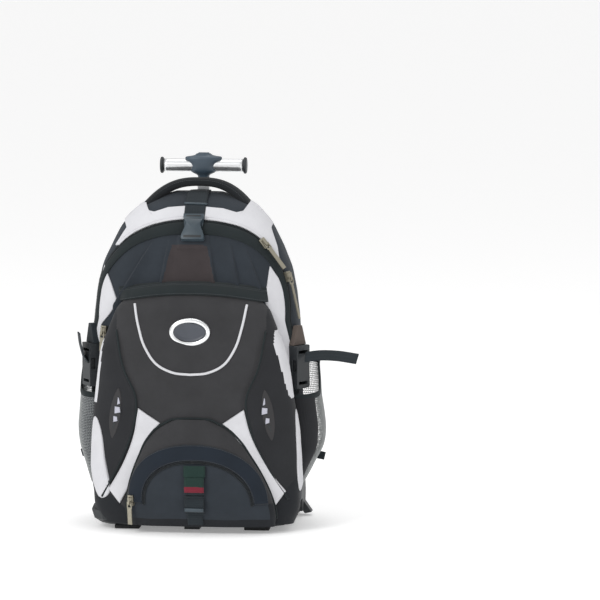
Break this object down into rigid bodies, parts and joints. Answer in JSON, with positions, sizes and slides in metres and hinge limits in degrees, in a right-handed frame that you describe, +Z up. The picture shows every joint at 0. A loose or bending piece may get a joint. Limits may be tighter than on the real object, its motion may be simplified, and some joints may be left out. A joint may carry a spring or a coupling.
{
  "type": "wheeled backpack",
  "caption": "Soft wheeled backpack with an arched main compartment, stacked front pockets, net side pockets, a telescoping T handle on one post and a wheel at each rear corner.",
  "frame": {"origin": "on the floor under the bag, on the middle line of its width, at the underside of the skid", "axes": "+Z up along the telescoping post, the front of the bag faces -Y, +X to the right seen from the front"},
  "size_m": [0.4207, 0.2628, 0.5315],
  "materials": {
    "charcoal": "woven, matt",
    "black": "woven, matt",
    "pale": "woven, matt",
    "brownCharcoal": "woven, matt",
    "silver": "satin",
    "badge": "satin",
    "plastic": "fine grain",
    "net": "knitted net",
    "webbing": "ribbed webbing",
    "buckle": "satin",
    "rubber": "matt",
    "knob": "satin",
    "metal": "nickel plated"
  },
  "bodies": {
    "bag": {"rear_shell": "charcoal", "main_door": "charcoal", "main_zipper": "black", "yoke_band": "pale", "gore_left": "pale", "gore_right": "pale", "front_pocket": "brownCharcoal", "pocket_hood": "black", "leg_panel_left": "pale", "stripe_left": "pale", "leg_panel_right": "pale", "stripe_right": "pale", "lower_pocket": "charcoal", "rain_flap": "black", "badge_ring": "silver", "badge_plate": "badge", "pocket_piping": "pale", "vent_left": "plastic", "vent_right": "plastic", "mesh_pocket_left": "net", "mesh_pocket_right": "net", "grab_handle": "black", "top_strap": "webbing", "buckle_socket": "buckle", "buckle_plug": "buckle", "daisy_chain": "webbing", "strap_tab_right": "webbing", "strap_tab_left": "webbing", "side_buckle_right": "plastic", "side_buckle_left": "plastic", "strap_tail_right": "webbing", "strap_tail_left": "webbing", "base_tray": "plastic", "foot_left": "rubber", "foot_right": "rubber", "wheel_housing_right": "plastic", "wheel_housing_left": "plastic", "trolley_case": "silver", "handle_bezel": "plastic", "back_panel": "black", "shoulder_strap_left": "black", "shoulder_strap_right": "black", "main_slider_upper": "metal", "main_slider_lower": "metal", "pocket_slider": "metal", "lower_slider": "metal"},
    "wheel_left": {"wheel_left": "rubber"},
    "wheel_right": {"wheel_right": "rubber"},
    "handle_lower": {"handle_stage_lower": "silver"},
    "handle_upper": {"handle_stage_upper": "silver", "handle_knob": "knob", "grip_tube": "silver", "grip_cap_left": "plastic", "grip_cap_right": "plastic"},
    "push_button": {"push_button": "knob"},
    "main_pull_upper": {"main_pull_upper": "metal"},
    "main_pull_lower": {"main_pull_lower": "metal"},
    "pocket_pull": {"pocket_pull": "metal"},
    "lower_pull": {"lower_pull": "metal"}
  },
  "joints": [
    {"name": "wheel_left_spin", "type": "hinge", "parent": "bag", "child": "wheel_left", "pos_m": [-0.1265, 0.1, 0.028], "axis": [1, 0, 0], "continuous": true},
    {"name": "wheel_right_spin", "type": "hinge", "parent": "bag", "child": "wheel_right", "pos_m": [0.1265, 0.1, 0.028], "axis": [1, 0, 0], "continuous": true},
    {"name": "handle_lower_slide", "type": "slide", "parent": "bag", "child": "handle_lower", "axis": [0, 0, 1], "range_m": [0, 0.24]},
    {"name": "handle_upper_slide", "type": "slide", "parent": "handle_lower", "child": "handle_upper", "axis": [0, 0, 1], "range_m": [0, 0.24]},
    {"name": "button_press", "type": "slide", "parent": "handle_upper", "child": "push_button", "axis": [0, 0, 1], "range_m": [-0.0025, 0], "stiffness_N_per_m": 400},
    {"name": "main_pull_upper_swing", "type": "hinge", "parent": "bag", "child": "main_pull_upper", "pos_m": [0.10451, -0.04287, 0.41049], "axis": [-0.6669, -0.575, -0.4739], "range_deg": [0, 110]},
    {"name": "main_pull_lower_swing", "type": "hinge", "parent": "bag", "child": "main_pull_lower", "pos_m": [0.1387, -0.03367, 0.36078], "axis": [-0.549, -0.8297, -0.1007], "range_deg": [0, 110]},
    {"name": "pocket_pull_swing", "type": "hinge", "parent": "bag", "child": "pocket_pull", "pos_m": [-0.13175, -0.05038, 0.28035], "axis": [-0.8485, 0.5262, 0.0566], "range_deg": [0, 110]},
    {"name": "lower_pull_swing", "type": "hinge", "parent": "bag", "child": "lower_pull", "pos_m": [-0.08318, -0.12181, 0.04509], "axis": [-0.8892, 0.4565, 0.0296], "range_deg": [0, 110]}
  ]
}
